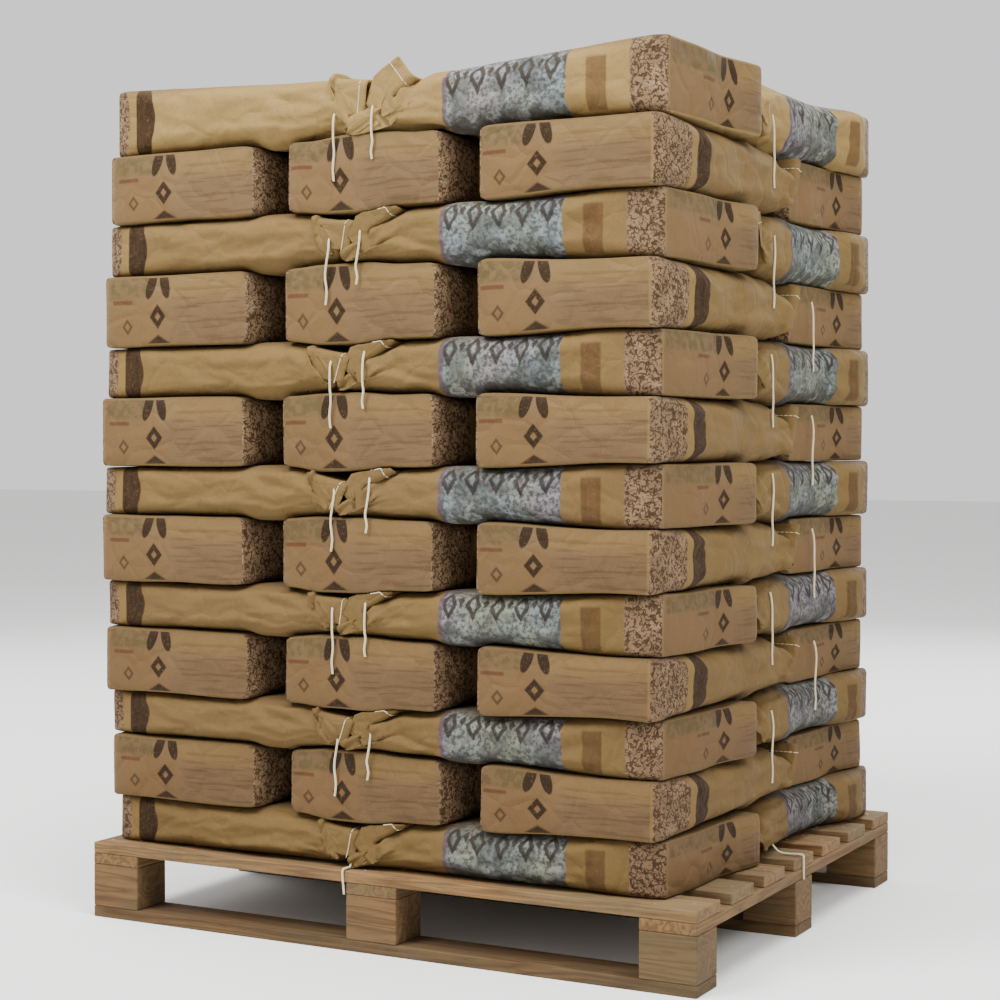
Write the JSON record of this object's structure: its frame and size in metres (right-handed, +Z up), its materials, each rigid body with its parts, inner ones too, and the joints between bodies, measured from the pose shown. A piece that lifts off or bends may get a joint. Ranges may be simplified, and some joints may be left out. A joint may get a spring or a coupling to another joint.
{
  "type": "pallet of sacks",
  "caption": "Sewn kraft-paper sacks with block bottoms, stacked in interlocked layers on a wooden block pallet.",
  "frame": {"origin": "bottom centre of the pallet, on the floor", "axes": "+Z up; X along the pallet's 1200 mm side; -Y is the front, with the long sacks of the lowest layer"},
  "size_m": [1.205, 1.005, 1.5186],
  "materials": {
    "pallet_wood": "rough sawn softwood, slightly weathered",
    "kraft_paper": "matt brown kraft paper, creased, with printed ornament",
    "sewing_thread": "white twisted cotton"
  },
  "bodies": {
    "root": {"skid_front": "pallet_wood", "block_front_left": "pallet_wood", "block_front_centre": "pallet_wood", "block_front_right": "pallet_wood", "skid_middle": "pallet_wood", "block_middle_left": "pallet_wood", "block_middle_centre": "pallet_wood", "block_middle_right": "pallet_wood", "skid_back": "pallet_wood", "block_back_left": "pallet_wood", "block_back_centre": "pallet_wood", "block_back_right": "pallet_wood", "cross_bar_left": "pallet_wood", "cross_bar_centre": "pallet_wood", "cross_bar_right": "pallet_wood", "deck_board_1": "pallet_wood", "deck_board_2": "pallet_wood", "deck_board_3": "pallet_wood", "deck_board_4": "pallet_wood", "deck_board_5": "pallet_wood", "deck_board_6": "pallet_wood", "deck_board_7": "pallet_wood", "sack_layer_01": "kraft_paper", "sack_layer_02": "kraft_paper", "sack_layer_03": "kraft_paper", "sack_layer_04": "kraft_paper", "sack_layer_05": "kraft_paper", "sack_layer_06": "kraft_paper", "sack_layer_07": "kraft_paper", "sack_layer_08": "kraft_paper", "sack_layer_09": "kraft_paper", "sack_layer_10": "kraft_paper", "sack_layer_11": "kraft_paper", "sack_layer_12": "kraft_paper", "sack_layer_13": "kraft_paper", "thread_front_left_03": "sewing_thread", "thread_front_left_05": "sewing_thread", "thread_front_left_07": "sewing_thread", "thread_front_left_09": "sewing_thread", "thread_front_left_11": "sewing_thread", "thread_front_left_13": "sewing_thread", "thread_front_right_03": "sewing_thread", "thread_front_right_05": "sewing_thread", "thread_front_right_07": "sewing_thread", "thread_front_right_09": "sewing_thread", "thread_front_right_11": "sewing_thread", "thread_front_right_13": "sewing_thread", "thread_side_near_03": "sewing_thread", "thread_side_near_05": "sewing_thread", "thread_side_near_07": "sewing_thread", "thread_side_near_09": "sewing_thread", "thread_side_near_11": "sewing_thread", "thread_side_near_13": "sewing_thread", "thread_side_far_04": "sewing_thread", "thread_side_far_06": "sewing_thread", "thread_side_far_08": "sewing_thread", "thread_side_far_10": "sewing_thread", "thread_front_01": "sewing_thread", "thread_side_01": "sewing_thread"}
  },
  "joints": []
}
